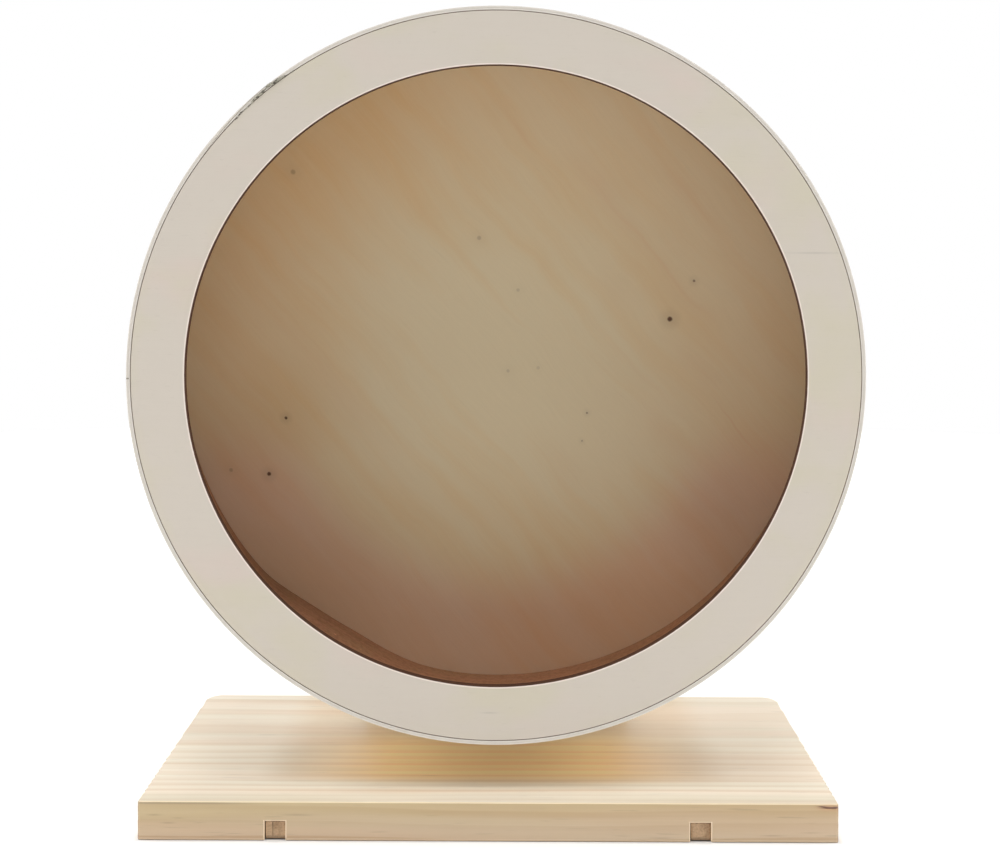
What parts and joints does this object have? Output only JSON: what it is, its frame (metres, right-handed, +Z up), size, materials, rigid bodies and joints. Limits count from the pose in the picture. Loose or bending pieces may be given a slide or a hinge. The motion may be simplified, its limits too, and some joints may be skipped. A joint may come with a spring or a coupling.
{
  "type": "rodent exercise wheel",
  "caption": "Wooden exercise wheel for a small rodent: an open drum with a cork running track turns on ball bearings on a stand with a flat base.",
  "frame": {"origin": "middle of the base board's underside, on the surface that the wheel stands on", "axes": "+Z up, +X to the right seen from the drum's open side, +Y to the rear, along the drum's axis from its mouth to the stand"},
  "size_m": [0.29, 0.1664, 0.323],
  "materials": {
    "pine": "sanded pine, unvarnished, with fine growth lines",
    "hardwood_batten": "darker sawn batten, end grain showing",
    "plywood": "pale poplar plywood with pin knots, cut edges charred brown",
    "bent_ply": "thin bent plywood, pale edge",
    "cork": "granular brown cork, matt",
    "zinc_steel": "bright zinc plate",
    "bearing_steel": "ground and polished steel",
    "cage_plastic": "moulded brown plastic",
    "insert_plastic": "blue nylon"
  },
  "bodies": {
    "stand": {"base_board": "pine", "groove_batten_left": "hardwood_batten", "groove_batten_right": "hardwood_batten", "upright_board": "pine", "corner_batten": "pine", "upright_screws": "zinc_steel", "corner_batten_screws": "zinc_steel", "axle_bolt": "zinc_steel", "axle_spacer": "zinc_steel", "front_washer": "zinc_steel", "rear_washer": "zinc_steel", "lock_nut": "zinc_steel", "lock_nut_insert": "insert_plastic", "front_inner_race": "bearing_steel", "rear_inner_race": "bearing_steel"},
    "wheel": {"hub_block": "pine", "hub_ring": "plywood", "rear_disc": "plywood", "front_ring": "plywood", "rim_band": "bent_ply", "rim_brads_front": "zinc_steel", "rim_brads_rear": "zinc_steel", "cork_track": "cork", "cork_joint_strip": "plywood", "front_outer_race": "bearing_steel", "rear_outer_race": "bearing_steel", "front_shields": "zinc_steel", "rear_shields": "zinc_steel"},
    "front_cage": {"front_balls": "bearing_steel", "front_ball_cage": "cage_plastic"},
    "rear_cage": {"rear_balls": "bearing_steel", "rear_ball_cage": "cage_plastic"}
  },
  "joints": [
    {"name": "wheel_spin", "type": "hinge", "parent": "stand", "child": "wheel", "pos_m": [0.0025, 0.05075, 0.178], "axis": [0, 1, 0], "continuous": true},
    {"name": "front_cage_spin", "type": "hinge", "parent": "stand", "child": "front_cage", "pos_m": [0.0025, 0.04725, 0.178], "axis": [0, 1, 0], "continuous": true},
    {"name": "rear_cage_spin", "type": "hinge", "parent": "stand", "child": "rear_cage", "pos_m": [0.0025, 0.05425, 0.178], "axis": [0, 1, 0], "continuous": true}
  ],
  "couplings": [
    {"joint": "front_cage_spin", "follows": "wheel_spin", "ratio": 0.6323},
    {"joint": "rear_cage_spin", "follows": "wheel_spin", "ratio": 0.6323}
  ]
}
